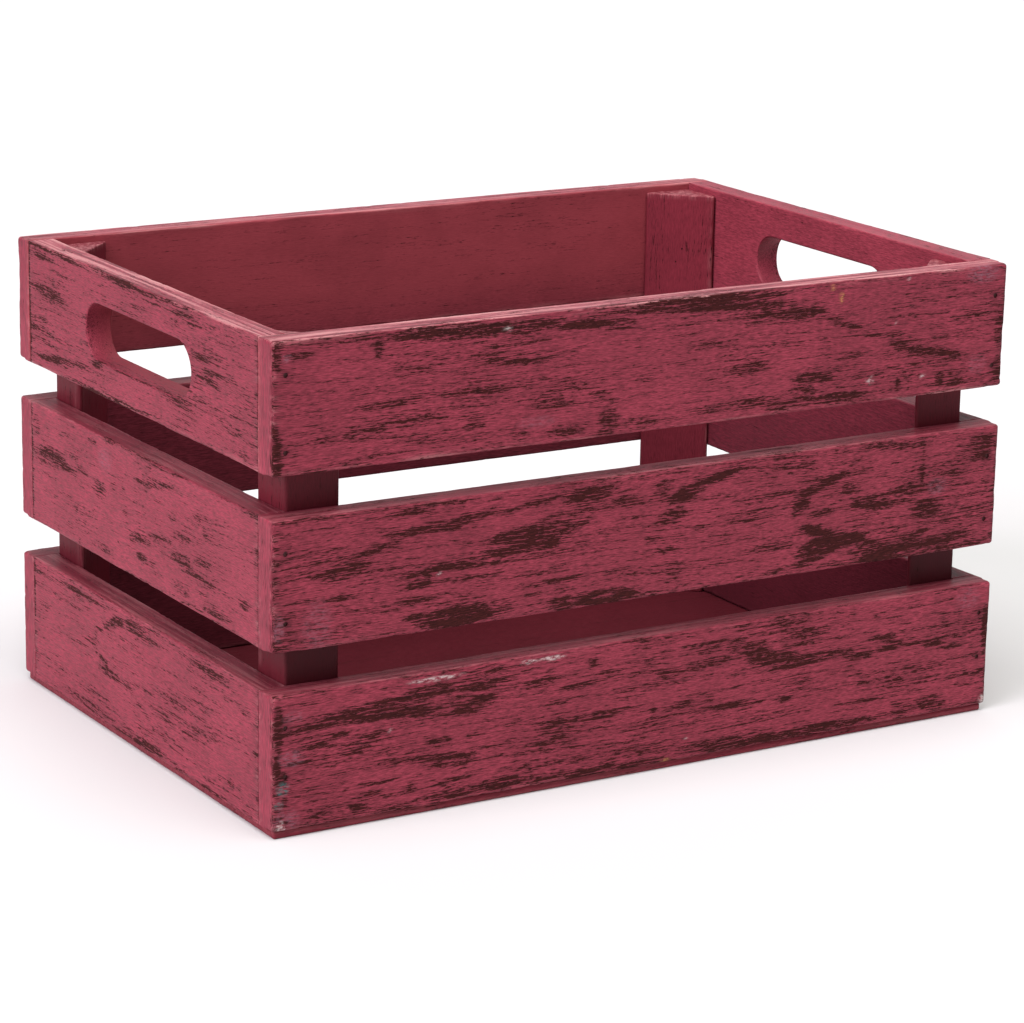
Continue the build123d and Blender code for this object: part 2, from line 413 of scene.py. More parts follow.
def painted_wood(name, paint, bare, streak_contrast=1.0):
    """Raspberry paint over open-grained wood, rubbed through along the grain.

    The attributes come from dress(): grain is the place in the board in millimetres, rub is how far the paint
    is rubbed, pale is how chalky it is together with painted highlights, and grime is how dirty it is
    together with painted shade. endcut is 1 on sawn ends, sheltered is 1 on the inner faces near the rim,
    where the paint is smoother and carries painted light, and mark is a splash of colour.
    """
    material, nodes, shader = new_material(name)
    grain = nodes.attribute("grain", "Vector")
    rub, pale, endcut, grime, sheltered = (
        nodes.attribute(name) for name in ("rub", "pale", "endcut", "grime", "sheltered"))
    mark = nodes.add("ShaderNodeAttribute", {"attribute_name": "mark"})

    # The grain wanders across the board, and a sawn end shows the saw's upright strokes instead.
    wander = nodes.noise(nodes.stretched(grain, (0.007, 0.03, 0.03)), detail=1)
    shift = nodes.times(nodes.minus(wander, 0.5), 8.0)
    wandered = nodes.vector("ADD", grain, nodes.combine(0.0, shift, 0.0))
    long_streaks = nodes.stretched(wandered, (0.10, 1.0, 1.0))
    saw_strokes = nodes.stretched(grain, (0.2, 0.09, 1.1))
    turned = nodes.add("ShaderNodeMix", {"data_type": "VECTOR"})
    for number, value in ((0, endcut), (4, long_streaks), (5, saw_strokes)):
        nodes.feed(turned.inputs[number], value)
    along_grain = turned.outputs[1]

    streak = nodes.noise(nodes.stretched(along_grain, (0.42, 1.0, 1.0)), scale=1.7, detail=2, roughness=0.5)
    band = nodes.noise(nodes.stretched(along_grain, (0.35, 1.0, 1.0)), scale=0.45, detail=2, roughness=0.5)
    fibre = nodes.noise(nodes.stretched(along_grain, (1.3, 1.0, 1.0)), scale=1.9, detail=2, roughness=0.6)
    speck = nodes.noise(nodes.stretched(along_grain, (1.8, 1.0, 1.0)), scale=1.6, detail=2, roughness=0.6)
    blotch = nodes.noise(nodes.stretched(grain, (0.018, 0.05, 0.05)), detail=2, roughness=0.6)
    cloud = nodes.noise(grain, scale=0.03, detail=3, roughness=0.55)

    # How far the paint is gone: the more a place is rubbed, the lower the grain that still breaks through.
    unevenness = nodes.times(nodes.minus(blotch, 0.5), 1.5)
    worn = nodes.plus(rub, unevenness)
    relief = nodes.plus(nodes.times(streak, 0.36), nodes.times(speck, 0.38))
    relief = nodes.plus(relief, nodes.times(band, 0.26))
    level = nodes.ramp(worn, 0.0, 1.6, 0.635, 0.435, kind="LINEAR")
    above = nodes.minus(relief, level)
    gone = nodes.ramp(above, -0.004, 0.010)
    thin = nodes.ramp(above, -0.085, 0.0)

    # Paint film: lighter high on the inner faces as painted light; clouded, streaked along the grain, darker
    # where it is thin, darker with grime and painted shade, and on tops and arrises dark lines and chalk together
    # with painted highlights.
    tint = nodes.mix(sheltered, list(paint) + [1], LIT_INSIDE_PAINT)
    clouds = nodes.ramp(cloud, 0.35, 0.65, 0.93, 1.07)
    strokes = nodes.ramp(sheltered, 0.0, 1.0, 0.36 * streak_contrast, 0.07)
    brushed = nodes.times(nodes.ramp(fibre, 0.34, 0.66, -1, 1, kind="LINEAR"), strokes)
    film = nodes.mix(1.0, tint, nodes.combine(clouds, clouds, clouds), blend="MULTIPLY")
    film = nodes.mix(1.0, film, nodes.combine(*[nodes.plus(1.0, brushed)] * 3), blend="MULTIPLY")
    film = nodes.mix(nodes.times(thin, 0.55), film, [c * 0.22 for c in paint] + [1])
    # Grime and painted shade darken the film towards a deep shade of the paint.
    film = nodes.mix(nodes.times(grime, 0.85), film, [c * 0.16 for c in paint] + [1])
    rim_lines = nodes.noise(nodes.stretched(grain, (0.012, 0.4, 0.42)), detail=3, roughness=0.65)
    pale_streak_relief = nodes.plus(rim_lines, nodes.times(fibre, 0.25))
    chalk_and_highlight_streaks = nodes.times(pale, nodes.ramp(pale_streak_relief, 0.58, 0.74, 0.05, 1.0))
    dark_lines = nodes.times(pale, nodes.ramp(rim_lines, 0.48, 0.38))
    film = nodes.mix(dark_lines, film, [c * 0.3 for c in paint] + [1])
    film = nodes.mix(chalk_and_highlight_streaks, film, CHALK_AND_HIGHLIGHT_PAINT)
    dark_grain, light_grain = [c * 0.6 for c in bare] + [1], [c * 1.5 for c in bare] + [1]
    wood = nodes.mix(nodes.ramp(fibre, 0.3, 0.7), dark_grain, light_grain)
    colour = nodes.mix(gone, film, wood)
    smear = nodes.noise(nodes.stretched(grain, (0.35, 0.8, 0.8)), detail=4, roughness=0.7)
    splash = nodes.times(mark.outputs["Alpha"], nodes.ramp(smear, 0.38, 0.70))
    colour = nodes.mix(splash, colour, mark.outputs["Color"])
    nodes.feed(shader.inputs["Base Color"], colour)
    shader.inputs["Specular IOR Level"].default_value = PAINT_SPECULAR

    sheen_of_film = nodes.ramp(fibre, 0.3, 0.7, 0.46, 0.60)
    roughness = nodes.ramp(gone, 0.0, 1.0, sheen_of_film, WOOD_ROUGHNESS)
    nodes.feed(shader.inputs["Roughness"], roughness)

    # Relief: the film stands above bare wood, and the grain shows through both.
    film_height = nodes.times(nodes.minus(1.0, gone), 0.45)
    streak_height = nodes.times(streak, nodes.ramp(sheltered, 0.0, 1.0, 0.75 * streak_contrast, 0.2))
    height = nodes.plus(film_height, streak_height)
    height = nodes.plus(height, nodes.times(fibre, 0.35 * streak_contrast))
    bump = nodes.add("ShaderNodeBump", Strength=0.55, Distance=PAINT_RELIEF, Height=height)
    nodes.feed(shader.inputs["Normal"], bump.outputs[0])
    return material


def painted_steel(name):
    """Nail heads: dull steel, with dark red paint run into the pit."""
    material, nodes, shader = new_material(name)
    place = nodes.add("ShaderNodeTexCoord").outputs["Object"]
    patch = nodes.noise(place, scale=900, detail=3, roughness=0.6)
    painted = nodes.ramp(patch, 0.42, 0.52)
    rust = nodes.mix(
        nodes.noise(place, scale=2500, detail=2), (0.030, 0.010, 0.008, 1), (0.060, 0.022, 0.016, 1))
    nodes.feed(shader.inputs["Base Color"], nodes.mix(painted, rust, (0.060, 0.005, 0.008, 1)))
    nodes.feed(shader.inputs["Metallic"], nodes.times(nodes.minus(1.0, painted), 0.6))
    nodes.feed(shader.inputs["Roughness"], nodes.ramp(patch, 0.3, 0.7, 0.45, 0.75))
    bump = nodes.add("ShaderNodeBump", Strength=0.6, Distance=0.1 * MM, Height=patch)
    nodes.feed(shader.inputs["Normal"], bump.outputs[0])
    return material


PAINT = (0.245, 0.0335, 0.055)
# A darker copy of the paint for the posts and the floor panel: painted shade for the inside of the crate.
SHADED_INNER_PAINT = (0.205, 0.021, 0.036)
# A lighter copy of the paint for the inner faces near the rim: painted light.
LIT_INSIDE_PAINT = (0.300, 0.047, 0.062, 1)
BARE_WOOD = (0.041, 0.0062, 0.0064)
# Pale pink for chalky wear and for painted highlights on rims and arrises.
CHALK_AND_HIGHLIGHT_PAINT = (0.56, 0.26, 0.26, 1)

board_paint = painted_wood("raspberry paint on boards", PAINT, BARE_WOOD)
# The posts and the floor panel take the darker copy of the paint, a painted shade.
post_paint = painted_wood("raspberry paint on posts", SHADED_INNER_PAINT, BARE_WOOD, streak_contrast=0.5)
panel_paint = painted_wood("raspberry paint on the floor panel", SHADED_INNER_PAINT, BARE_WOOD, streak_contrast=0.5)
nail_finish = painted_steel("nail heads under paint")


# ---------------------------------------------------------------- where the paint is rubbed

# A rub is a soft patch on a board's outer face. along is millimetres along the face from its middle, to the
# right as the face is looked at, up is height above the ground, and slope tilts the patch. Each row of RUBS is
# one rub, with its values in this order.
Rub = namedtuple("Rub", "along up length depth slope strength", defaults=(0.0, 1.0))
Mark = namedtuple("Mark", "along up length depth colour strength", defaults=(1.0,))

WHITE_CHALK = (0.72, 0.62, 0.60)
GREY_DUST = (0.25, 0.115, 0.15)
OCHRE = (0.62, 0.33, 0.10)
TEAL = (0.06, 0.16, 0.16)

RUBS = {
    "front_board_top": [
        (-190, 247, 60, 6), (-205, 242, 16, 5), (-162, 242, 6, 13), (-110, 245, 120, 7, -0.03),
        (-45, 242, 50, 5, -0.03), (-24, 240, 20, 7), (22, 247, 96, 7), (40, 243, 80, 4, -0.04),
        (75, 238, 46, 9, -0.08, 0.8), (96, 235, 14, 4), (112, 228, 30, 5, -0.35), (125, 222, 30, 4, 0.05),
        (140, 219, 28, 4, -0.12), (151, 212, 16, 7, -0.3), (166, 208, 34, 5, -0.12),
        (184, 204, 18, 4, -0.06), (95, 200, 26, 6, 0.05, 0.8), (88, 192, 18, 9), (52, 191, 66, 6, 0, 0.8),
        (112, 188, 34, 6), (78, 187, 30, 5), (118, 210, 16, 5, 0, 0.8), (108, 214, 20, 4, 0, 0.6),
        (55, 209, 26, 6, 0, 0.6), (78, 220, 26, 4, -0.1, 0.6), (30, 224, 26, 4, 0, 0.6),
        (-5, 212, 22, 10, 0, 0.45), (-55, 189, 28, 6, 0, 0.9), (-31, 192, 12, 14, 0, 0.85),
        (-35, 205, 14, 4, 0, 0.9), (150, 191, 5, 7), (178, 191, 6, 7), (188, 189, 12, 5),
        (161, 201, 6, 5, 0, 0.7), (-108, 213, 34, 5, 0, 0.85), (-160, 213, 34, 4, 0, 0.85),
        (-142, 204, 34, 3, 0, 0.8), (-108, 198, 14, 5, 0, 0.9), (-180, 236, 18, 3, 0, 0.8),
        (-143, 229, 26, 3, -0.06, 0.8), (-90, 227, 40, 4, -0.12, 0.8), (-62, 203, 30, 5, 0, 0.7),
        (-100, 232, 20, 4, 0, 0.6), (-217, 192, 6, 20, 0, 1.1), (-218, 206, 4, 9, 0, 1.1),
        (-217, 242, 5, 16, 0, 1.1), (216, 214, 6, 18, 0, 0.9), (216, 194, 6, 16, 0, 0.9),
        (-198, 184, 14, 4, 0, 0.8),
    ],
    "front_board_middle": [
        (-160, 142, 34, 4, 0.25), (-132, 148, 48, 6, 0.05), (-106, 151, 34, 4, 0.05),
        (-76, 153, 40, 3, 0.12), (-42, 153, 26, 9), (-18, 149, 20, 4), (-88, 151, 16, 4),
        (-55, 144, 44, 6, 0.08), (-75, 140, 56, 7, 0.1), (-84, 137, 36, 5), (-52, 138, 26, 7, 0.2),
        (-132, 126, 40, 4, 0.08), (-106, 127, 34, 4), (-84, 131, 36, 5, 0.1), (-64, 131, 16, 5),
        (-186, 131, 24, 5), (-172, 135, 14, 9, 0, 0.8), (-182, 119, 18, 3, 0, 0.9), (-142, 119, 16, 3),
        (-134, 119, 4, 4), (-140, 112, 24, 3), (-112, 111, 12, 3), (-78, 111, 16, 3, 0, 0.8),
        (-55, 112, 34, 3), (-73, 106, 12, 3, 0, 0.8), (-144, 158, 24, 4, 0, 0.7),
        (-116, 101, 44, 10, 0, 1.5), (-140, 103, 16, 5, 0, 0.9), (-90, 101, 10, 6, 0, 0.6),
        (-57, 99, 14, 8, 0, 1.1), (-30, 99, 40, 7, 0, 1.3), (-3, 126, 8, 4), (3, 152, 12, 9),
        (20, 148, 26, 8, 0.2, 1.4), (38, 154, 26, 6, 0.3, 1.3), (10, 137, 20, 8, 0.1, 1.1),
        (48, 157, 12, 3), (28, 128, 10, 4), (8, 119, 12, 4, 0, 0.8), (45, 119, 40, 5, 0, 0.7),
        (62, 130, 34, 9, 0, 0.6), (104, 142, 34, 6, 0.3, 1.4), (90, 131, 12, 9, 0.5, 1.3),
        (80, 141, 30, 4, 0, 0.7), (122, 150, 5, 3), (72, 112, 26, 6, 0, 0.6), (100, 117, 20, 6, -0.3, 1.6),
        (115, 111, 34, 6, -0.12, 1.7), (104, 107, 34, 9, 0.1, 1.5), (98, 102, 30, 5, 0.2, 1.3),
        (80, 99, 20, 3, 0.1, 0.8), (136, 107, 9, 3, 0.2), (104, 127, 18, 5, 0, 0.9),
        (122, 138, 14, 7, 0, 0.8), (138, 128, 34, 9, -0.08, 0.95), (158, 132, 20, 12, 0, 0.75),
        (172, 121, 20, 10, -0.1, 0.95), (169, 146, 3, 28, 0, 0.8), (148, 158, 40, 5, -0.05, 0.75),
        (120, 158, 60, 5, 0, 0.3), (90, 150, 110, 18, 0, 0.28), (150, 102, 60, 6, -0.02, 1.1),
        (165, 107, 22, 4, 0.2, 0.9), (188, 103, 44, 6, 0.05), (200, 98, 34, 4, 0, 0.7),
        (142, 98, 26, 5, 0, 0.9), (208, 154, 16, 8, 0, 0.9), (209, 147, 12, 5, 0, 0.9),
        (212, 130, 6, 4, 0, 0.8), (186, 111, 8, 3, 0, 0.7),
    ],
    "front_board_bottom": [
        (-168, 59, 84, 5, 0.07), (-150, 55, 60, 5, -0.03, 1.1), (-132, 65, 26, 6, 0.05),
        (-150, 62, 40, 5, 0.05, 0.9), (-196, 56, 30, 4, 0.05), (-100, 63, 26, 5, 0, 0.9),
        (-102, 55, 20, 5, 0.1, 1.1), (-114, 53, 12, 3), (-196, 46, 30, 3, 0.04), (-182, 49, 10, 4),
        (-166, 46, 14, 3), (-204, 38, 14, 3), (-138, 53, 16, 3), (-112, 50, 20, 3, 0, 0.7), (-62, 60, 7, 8),
        (-68, 58, 20, 4), (-45, 54, 22, 4), (-36, 64, 7, 6), (-25, 58, 16, 5, 0, 0.7), (-126, 37, 18, 3),
        (-106, 37, 12, 3), (-58, 36, 20, 4), (-30, 36, 24, 5), (-44, 37, 40, 2, 0, 0.8), (-126, 28, 28, 4),
        (-127, 25, 10, 4), (-112, 27, 14, 3), (-92, 29, 18, 3, 0, 0.8), (-66, 26, 14, 3, 0, 0.8),
        (-55, 29, 4, 7, 0, 0.7), (-40, 21, 20, 2, 0, 0.8), (-160, 21, 26, 2, 0.05, 0.8), (-164, 16, 12, 3),
        (-142, 15, 5, 6), (-172, 10, 10, 3), (-114, 16, 26, 2.5, 0.05), (-122, 14, 16, 2.5),
        (-150, 5, 26, 4, 0, 0.8), (-118, 8, 38, 7), (-92, 9, 32, 6, 0, 1.1), (-52, 7, 46, 7),
        (-26, 9, 10, 5), (0, 5, 40, 4, 0, 0.9), (45, 8, 66, 6, 0, 1.2), (108, 7, 64, 6),
        (72, 7, 20, 6, 0, 0.9), (162, 10, 18, 8, 0, 0.8), (182, 10, 20, 9), (34, 63, 24, 9, 0, 1.1),
        (54, 61, 18, 8, 0, 1.1), (36, 54, 34, 6, 0.03, 1.1), (64, 57, 18, 8, -0.2, 1.1),
        (76, 51, 34, 7, -0.08, 1.1), (92, 45, 30, 5, -0.05, 0.9), (110, 48, 56, 6, 0, 0.75),
        (132, 44, 20, 6), (148, 52, 18, 5, -0.1, 1.1), (154, 47, 18, 6, 0, 1.1), (166, 46, 20, 3),
        (182, 44, 16, 5, -0.1, 1.1), (194, 41, 16, 4, -0.05, 0.7), (14, 52, 22, 5, 0, 0.9),
        (98, 62, 30, 5, 0, 0.8), (74, 67, 40, 7, 0, 0.6), (5, 64, 40, 12, 0, 0.4), (1, 34, 5, 4),
        (20, 34, 14, 3, 0, 0.8), (48, 29, 20, 3, 0, 0.8), (85, 27, 8, 4), (60, 26, 12, 3, 0, 0.8),
        (-216, 56, 5, 26), (-217, 36, 4, 14), (-214, 31, 5, 8), (-213, 19, 4, 6, 0, 1.1), (217, 48, 4, 30),
        (134, 18, 26, 3, -0.03, 0.7), (158, 27, 12, 3, 0, 0.7), (167, 33, 8, 3, 0, 0.8),
        (100, 18, 5, 3, 0, 0.7),
    ],
    "left_end_board_top": [
        (-40, 248, 180, 3, -0.01), (45, 246, 60, 6, -0.12, 0.65), (-115, 244, 24, 3),
        (-110, 226, 44, 8, -0.03, 0.75), (-98, 218, 18, 3), (-48, 199, 14, 5), (-95, 192, 74, 4, 0.1, 0.9),
        (-20, 185, 120, 3, 0, 0.7), (8, 202, 96, 3, 0, 1.1), (48, 200, 32, 7, 0, 0.8), (75, 227, 18, 4),
        (90, 222, 30, 4), (84, 217, 26, 4), (106, 223, 14, 4, 0, 0.8), (-118, 205, 30, 12, 0, 0.4),
        (60, 235, 60, 10, -0.1, 0.35), (-134, 216, 2.5, 64),
    ],
    "left_end_board_middle": [
        (-104, 135, 66, 5, 0.0, 1.1), (-106, 139, 32, 5), (-110, 131, 34, 5, 0, 0.8), (-84, 142, 20, 3),
        (-70, 138, 16, 6), (-48, 136, 16, 4), (-47, 131, 16, 7, 0, 0.9), (-30, 138, 10, 6),
        (-18, 138, 8, 6), (-14, 127, 14, 4, 0.1), (-55, 157, 10, 4), (-32, 161, 34, 3),
        (20, 161, 70, 3, 0, 0.8), (2, 148, 10, 4), (18, 150, 22, 4, 0.12), (36, 153, 20, 2.5, 0.12),
        (40, 138, 12, 4, 0, 0.9), (78, 138, 8, 4), (68, 144, 14, 3, 0, 0.6), (50, 129, 24, 6, 0.12),
        (28, 124, 34, 4, 0.12, 0.9), (0, 117, 30, 4, 0.15, 0.9), (50, 119, 24, 9, 0, 0.8),
        (74, 122, 20, 9, 0, 0.8), (72, 114, 40, 3, -0.03, 1.1), (-8, 114, 8, 3), (4, 108, 12, 5),
        (18, 108, 8, 3), (52, 104, 22, 9, 0, 0.9), (88, 101, 34, 6, 0, 0.95), (121, 113, 12, 6),
        (-42, 102, 14, 4), (-56, 101, 6, 3), (-73, 98, 4, 3), (-24, 110, 4, 3), (100, 126, 34, 2, 0, 0.6),
        (-128, 150, 12, 10, 0, 0.6), (-134, 128, 2.5, 64),
    ],
    "left_end_board_bottom": [
        (-88, 68, 110, 3.5, 0.035, 1.1), (-28, 65, 22, 6, 0.3, 1.2), (-8, 69, 34, 4, 0.05, 1.2),
        (5, 66, 40, 5, 0, 0.8), (30, 70, 60, 4, 0, 0.7), (70, 68, 60, 4, 0, 0.6), (-40, 59, 14, 4, 0.55),
        (-52, 54, 12, 3, 0.3, 0.9), (-60, 46, 18, 4, 0.1, 1.1), (-54, 48, 6, 6),
        (-48, 40, 20, 4, -0.35, 1.1), (-34, 33, 30, 3.5, -0.05, 1.1), (-14, 32, 14, 4, 0, 1.1),
        (0, 27, 16, 3, -0.35), (10, 22, 10, 2, -0.4, 0.7), (-72, 33, 10, 2.5, 0, 0.7),
        (-60, 9, 70, 7, -0.02), (0, 7, 66, 7, 0, 1.1), (44, 6, 24, 4), (-112, 5, 30, 4, 0, 0.7),
        (80, 5, 30, 3, 0, 0.7), (52, 36, 90, 16, 0, 0.38), (40, 40, 30, 5, 0, 0.6), (20, 30, 40, 4, 0, 0.5),
        (106, 17, 8, 7, 0, 0.8), (134, 40, 10, 3), (120, 58, 12, 3, 0, 0.6), (-134, 55, 2.5, 34),
    ],
}

MARKS = {
    "front_board_top": [
        Mark(204, 246, 20, 10, GREY_DUST, 0.75), Mark(106, 247, 4, 3, OCHRE), Mark(112, 241, 3, 6, OCHRE),
        Mark(132, 195, 5, 4, WHITE_CHALK, 0.7), Mark(-90, 244, 4, 3, WHITE_CHALK, 0.7),
        Mark(-72, 195, 22, 6, GREY_DUST, 0.4), Mark(166, 194, 4, 2, WHITE_CHALK, 0.7),
        Mark(-212, 241, 6, 4, GREY_DUST, 0.7), Mark(202, 197, 12, 10, GREY_DUST, 0.35),
        Mark(154, 247, 2, 2, WHITE_CHALK), Mark(148, 225, 2, 2, WHITE_CHALK),
    ],
    "front_board_middle": [
        Mark(-195, 106, 16, 26, GREY_DUST, 0.35), Mark(-216, 108, 6, 14, GREY_DUST, 0.6),
        Mark(180, 132, 12, 10, GREY_DUST, 0.45), Mark(-127, 124, 2, 2, WHITE_CHALK),
    ],
    "front_board_bottom": [
        Mark(-128, 70, 30, 2.4, WHITE_CHALK, 0.75), Mark(-74, 71, 10, 2.4, WHITE_CHALK, 0.9),
        Mark(-60, 71, 14, 2.4, WHITE_CHALK, 0.9), Mark(-214, 26, 7, 7, TEAL), Mark(-216, 18, 5, 4, TEAL),
        Mark(-215, 5, 6, 10, WHITE_CHALK, 0.8), Mark(-212, 9, 14, 12, GREY_DUST, 0.5),
        Mark(10, 5, 6, 2, OCHRE, 0.8), Mark(-209, 41, 14, 8, GREY_DUST, 0.6),
        Mark(204, 66, 16, 12, GREY_DUST, 0.4), Mark(-208, 62, 12, 6, GREY_DUST, 0.4),
        Mark(217, 7, 4, 5, WHITE_CHALK, 0.9), Mark(-154, 47, 2, 2, WHITE_CHALK),
        Mark(24, 15, 2, 2, WHITE_CHALK),
    ],
    "left_end_board_middle": [
        Mark(-40, 150, 16, 12, GREY_DUST, 0.45),
    ],
}


# How far each board's outer face is rubbed all over, where it isn't USUAL_RUB.
USUAL_RUB = 0.44
OVERALL_RUB = {
    "front_board_middle": 0.56, "front_board_bottom": 0.54, "front_board_top": 0.48,
    "left_end_board_middle": 0.26, "left_end_board_bottom": 0.32, "left_end_board_top": 0.42,
}

# How far hands have worn the rims chalky, together with a painted highlight on the rim tops and arrises.
RIM_CHALK_AND_HIGHLIGHT = {
    "front_board_top": 1.0, "left_end_board_top": 0.85, "back_board_top": 0.6, "right_end_board_top": 0.1,
}


def scattered_rubs(seed, reach, low, high, count):
    """Rubs for a face that hands and floors wear at random: long thin patches, more of them low down."""
    draw = np.random.default_rng(seed)
    rubs = []
    for _ in range(count):
        along = draw.uniform(-reach, reach)
        up = low + (high - low) * draw.uniform() ** 1.3
        length = draw.uniform(12, 60)
        depth, slope, strength = draw.uniform(3, 8), draw.uniform(-0.08, 0.08), draw.uniform(0.5, 1.2)
        rubs.append(Rub(along, up, length, depth, slope, strength))
    return rubs


def ripple(values, seed, period):
    """A smooth uneven wave from 0 to 1 along these millimetres, about this long from crest to crest."""
    draw = np.random.default_rng(seed)
    total = np.zeros_like(values)
    for octave in range(5):
        total += np.sin(values * 2 * math.pi / period * (0.6 + 0.55 * octave) + draw.uniform(0, 2 * math.pi))
    return np.clip(0.5 + total / 5, 0, 1)


def patches(shapes, along, up):
    """The strength of soft-edged patches at each point, with the patch that is strongest there."""
    total = np.zeros_like(along)
    winner = np.full(len(along), -1)
    for index, shape in enumerate(shapes):
        across = along - shape.along
        rise = up - shape.up - getattr(shape, "slope", 0.0) * across
        distance = (2 * across / shape.length) ** 2 + (2 * rise / shape.depth) ** 2
        strength = shape.strength * np.clip(1.35 - distance * 0.85, 0, 1)
        winner[strength > total] = index
        total = np.maximum(total, strength)
    return total, winner


def write_attribute(mesh, name, kind, values):
    attribute = mesh.attributes.new(name, kind, "POINT")
    field = {"FLOAT": "value", "FLOAT_VECTOR": "vector", "FLOAT_COLOR": "color"}[kind]
    attribute.data.foreach_set(field, np.asarray(values, np.float32).ravel())


def vertex_places(mesh):
    places = np.empty(len(mesh.vertices) * 3, np.float32)
    mesh.vertices.foreach_get("co", places)
    return places.reshape(-1, 3).astype(float) / MM


def dress(piece, grain, rub, pale, grime, endcut, sheltered, mark=None):
    """Writes the attributes that the paint reads, and marks the sharp edges."""
    mesh = piece.data
    write_attribute(mesh, "grain", "FLOAT_VECTOR", np.column_stack(grain))
    shares = {"rub": rub, "pale": pale, "grime": grime, "endcut": endcut, "sheltered": sheltered}
    for name, values in shares.items():
        write_attribute(mesh, name, "FLOAT", values)
    unmarked = np.zeros((len(mesh.vertices), 4))
    write_attribute(mesh, "mark", "FLOAT_COLOR", unmarked if mark is None else mark)
    mesh.set_sharp_from_angle(angle=SMOOTH_ANGLE)


def finish_piece(piece, node, material):
    """Hands a piece over to the frame: it rides on the one body and stands for its CAD node."""
    if not piece.data.materials:
        piece.data.materials.append(material)
    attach(piece, "root")
    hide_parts(node)


# ---------------------------------------------------------------- nails and their pits


def nail_heads(node, direction, within=None):
    """The middle and radius of each nail head's top in a node, for the nails whose heads face this way."""
    places = vertex_places(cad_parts[node].data)
    if within is not None:
        places = places[within(places)]
    depth = places @ np.array(direction, float)
    rims = places[depth > depth.max() - 0.05]
    heads = []
    while len(rims):
        close = np.linalg.norm(rims - rims[0], axis=1) < 5
        heads.append((rims[close].max(0) + rims[close].min(0)) / 2)
        radius = np.linalg.norm(rims[close] - heads[-1], axis=1).max()
        rims = rims[~close]
    return np.array(heads) * MM, radius * MM


def pit_cutter(heads, radius, direction, seed, material):
    """One piece with a ragged cone over each nail head."""
    direction = Vector(direction).normalized()
    middle = direction * (PIT_REACH - PIT_BELOW_HEAD) / 2
    mesh = bpy.data.meshes.new("pit points")
    mesh.from_pydata([Vector(head) + middle for head in heads], [], [])
    return run_tree(pit_tree, new_piece("pits", mesh), {
        "Radius": radius + PIT_CLEARANCE + PIT_RAGGED / 4,
        "Depth": PIT_REACH + PIT_BELOW_HEAD,
        "Direction": direction,
        "Ragged": PIT_RAGGED,
        "Seed": float(seed),
        "Material": material,
    })


def bore(piece, cutter, material):
    run_tree(bore_tree, piece, {"Cutter": cutter, "Material": material})
    discard(cutter)


# ---------------------------------------------------------------- the boards


def slot_cutter(node, material):
    """A round-ended bar with flared mouths, to be cut through a top end board."""
    low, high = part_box(node)
    middle = (low + high) / 2
    half_thickness = (high.x - low.x) / 2
    sweep = [math.radians(SLOT_LIP_SWEEP * step / 6) for step in range(7)]
    lip_start = half_thickness - SLOT_LIP
    mouth = [(lip_start + SLOT_LIP * math.sin(a), SLOT_LIP * (1 - math.cos(a))) for a in sweep]
    last = sweep[-1]
    mouth.append((mouth[-1][0] + SLOT_OVERRUN * math.cos(last), mouth[-1][1] + SLOT_OVERRUN * math.sin(last)))
    levels = [(-depth, widening) for depth, widening in reversed(mouth)] + mouth
    straight = (SLOT_LENGTH - SLOT_HEIGHT) / 2
    points = []
    for depth, widening in levels:
        radius = SLOT_HEIGHT / 2 + widening
        for side in (1, -1):
            for step in range(SLOT_CORNERS + 1):
                angle = math.pi * (step / SLOT_CORNERS - 0.5)
                wave = SLOT_WAVE * math.sin(3 * angle + 40 * depth / SLOT_HEIGHT + side)
                y = side * (straight + (radius + wave) * math.cos(angle))
                z = side * (radius + wave * 0.5) * math.sin(angle)
                points.append((middle.x + depth, middle.y + y, middle.z + z))
    mesh = bpy.data.meshes.new("slot")
    mesh.from_pydata(points, [], ring_faces(2 * (SLOT_CORNERS + 1), len(levels)))
    cutter = new_piece("slot cutter", mesh)
    mesh.materials.append(material)
    return cutter


Board = namedtuple("Board", "node turn outward along seed")


def make_board(board):
    """Builds a worn board in place of its CAD node, with pits or a hand-hold slot, and paints its wear."""
    low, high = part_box(board.node)
    size = high - low
    length, thickness = (size.x, size.y) if board.turn == 0 else (size.y, size.x)
    width = size.z
    piece = run_tree(board_tree, new_piece("worn_" + board.node), {
        "Length": length,
        "Thickness": thickness,
        "Width": width,
        "Cells along": round(length / CELL_ALONG),
        "Cells through": CELLS_THROUGH,
        "Cells across": round(width / CELL_ACROSS),
        "Arris": BOARD_ARRIS,
        "Crush": BOARD_CRUSH,
        "End wear": BOARD_END_WEAR,
        "Wave": BOARD_WAVE,
        "Joint side": -board.outward[1] if board.turn == 0 else 0.0,
        "Joint arris": JOINT_ARRIS,
        "Seed": float(board.seed),
        "Turn": board.turn,
        "Place": (low + high) / 2,
        "Material": board_paint,
    })
    heads = np.empty((0, 3))
    if board.turn == 0:
        nails = "front_nails" if board.outward[1] < 0 else "back_nails"
        heads, radius = nail_heads(
            nails, board.outward, lambda p: (p[:, 2] > low.z / MM) & (p[:, 2] < high.z / MM))
        bore(piece, pit_cutter(heads, radius, board.outward, board.seed, board_paint), board_paint)
    elif board.node.endswith("top"):
        bore(piece, slot_cutter(board.node, board_paint), board_paint)
    paint_board(piece, board, low / MM, high / MM, length / MM, thickness / MM, heads / MM)
    finish_piece(piece, board.node, board_paint)


def painted_inner_shade(up):
    """Painted shade inside the crate, deeper towards its floor, at each height in millimetres."""
    return np.interp(up, (0, 90, 170, 215, 250), (0.92, 0.76, 0.44, 0.04, 0.0))


